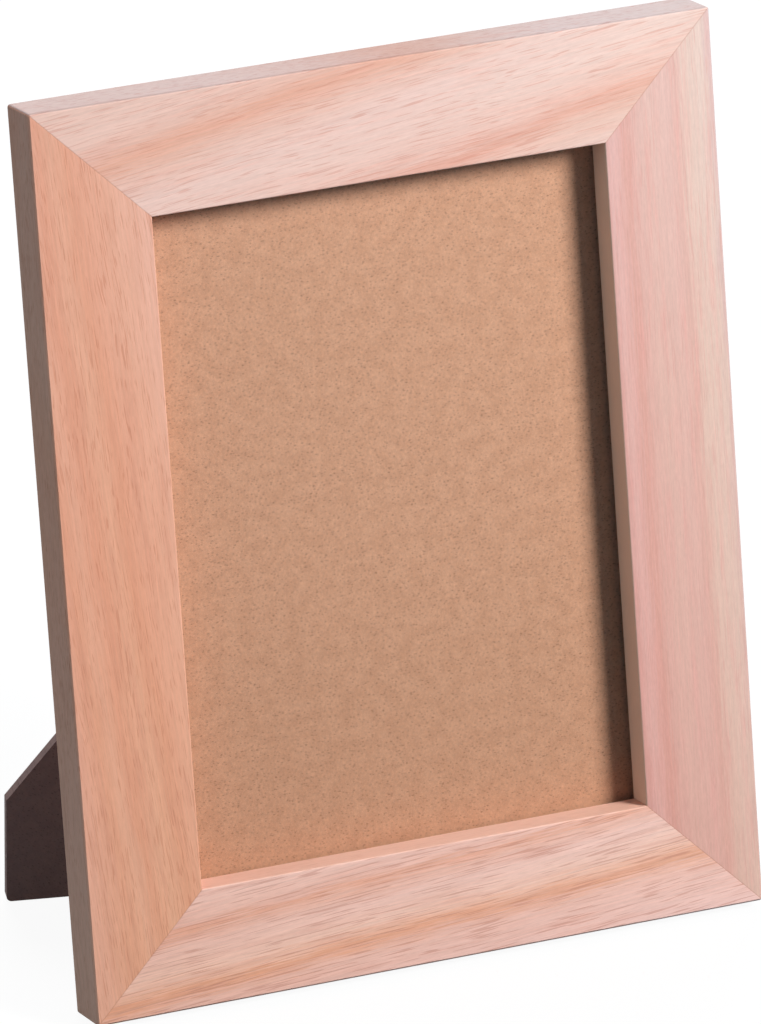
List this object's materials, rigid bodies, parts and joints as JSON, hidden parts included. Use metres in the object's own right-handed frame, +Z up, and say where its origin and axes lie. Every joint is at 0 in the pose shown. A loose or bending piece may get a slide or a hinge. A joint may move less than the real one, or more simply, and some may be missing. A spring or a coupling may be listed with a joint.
{
  "type": "easel back photo frame",
  "caption": "Mitred raw wood photo frame with a glazed front, a hardboard back held by turn buttons, and an oblique fold-out strut.",
  "frame": {"origin": "middle of the standing frame's footprint box, on the surface that it stands on", "axes": "+Z up, -Y towards the viewer, +X to the viewer's right; the frame leans back 10 degrees"},
  "size_m": [0.18, 0.0806, 0.2288],
  "materials": {
    "frame_wood": "raw, sanded",
    "clear_glass": "polished",
    "kraft_card": "matt",
    "back_hardboard": "matt",
    "strut_hardboard": "matt",
    "zinc_steel": "zinc plated",
    "screw_steel": "zinc plated",
    "nail_steel": "bright",
    "rivet_metal": "satin"
  },
  "bodies": {
    "frame": {"bottom_rail": "frame_wood", "right_stile": "frame_wood", "top_rail": "frame_wood", "left_stile": "frame_wood", "corner_v_nails": "nail_steel", "glazing_pane": "clear_glass", "insert_card": "kraft_card", "backing_board": "back_hardboard", "hinge_board_leaf": "zinc_steel", "hinge_pin": "nail_steel", "hinge_board_rivets": "rivet_metal", "turn_button_screws": "screw_steel", "hanger_nails": "nail_steel", "sawtooth_hanger_top": "zinc_steel", "sawtooth_hanger_side": "zinc_steel"},
    "strut": {"easel_strut": "strut_hardboard", "hinge_strut_leaf": "zinc_steel", "hinge_strut_rivets": "rivet_metal"},
    "turn_button_bottom_left": {"turn_button_bottom_left": "zinc_steel"},
    "turn_button_bottom_right": {"turn_button_bottom_right": "zinc_steel"},
    "turn_button_top_left": {"turn_button_top_left": "zinc_steel"},
    "turn_button_top_right": {"turn_button_top_right": "zinc_steel"}
  },
  "joints": [
    {"name": "strut_fold", "type": "hinge", "parent": "frame", "child": "strut", "pos_m": [0.02465, 0.00082, 0.14383], "axis": [-0.7875, 0.107, 0.6069], "range_deg": [0, 20]},
    {"name": "turn_bottom_left", "type": "hinge", "parent": "frame", "child": "turn_button_bottom_left", "pos_m": [-0.032, -0.02352, 0.01764], "axis": [0, 0.9848, -0.1736], "continuous": true},
    {"name": "turn_bottom_right", "type": "hinge", "parent": "frame", "child": "turn_button_bottom_right", "pos_m": [0.032, -0.02352, 0.01764], "axis": [0, 0.9848, -0.1736], "continuous": true},
    {"name": "turn_top_left", "type": "hinge", "parent": "frame", "child": "turn_button_top_left", "pos_m": [-0.032, 0.01017, 0.20869], "axis": [0, 0.9848, -0.1736], "continuous": true},
    {"name": "turn_top_right", "type": "hinge", "parent": "frame", "child": "turn_button_top_right", "pos_m": [0.032, 0.01017, 0.20869], "axis": [0, 0.9848, -0.1736], "continuous": true}
  ]
}
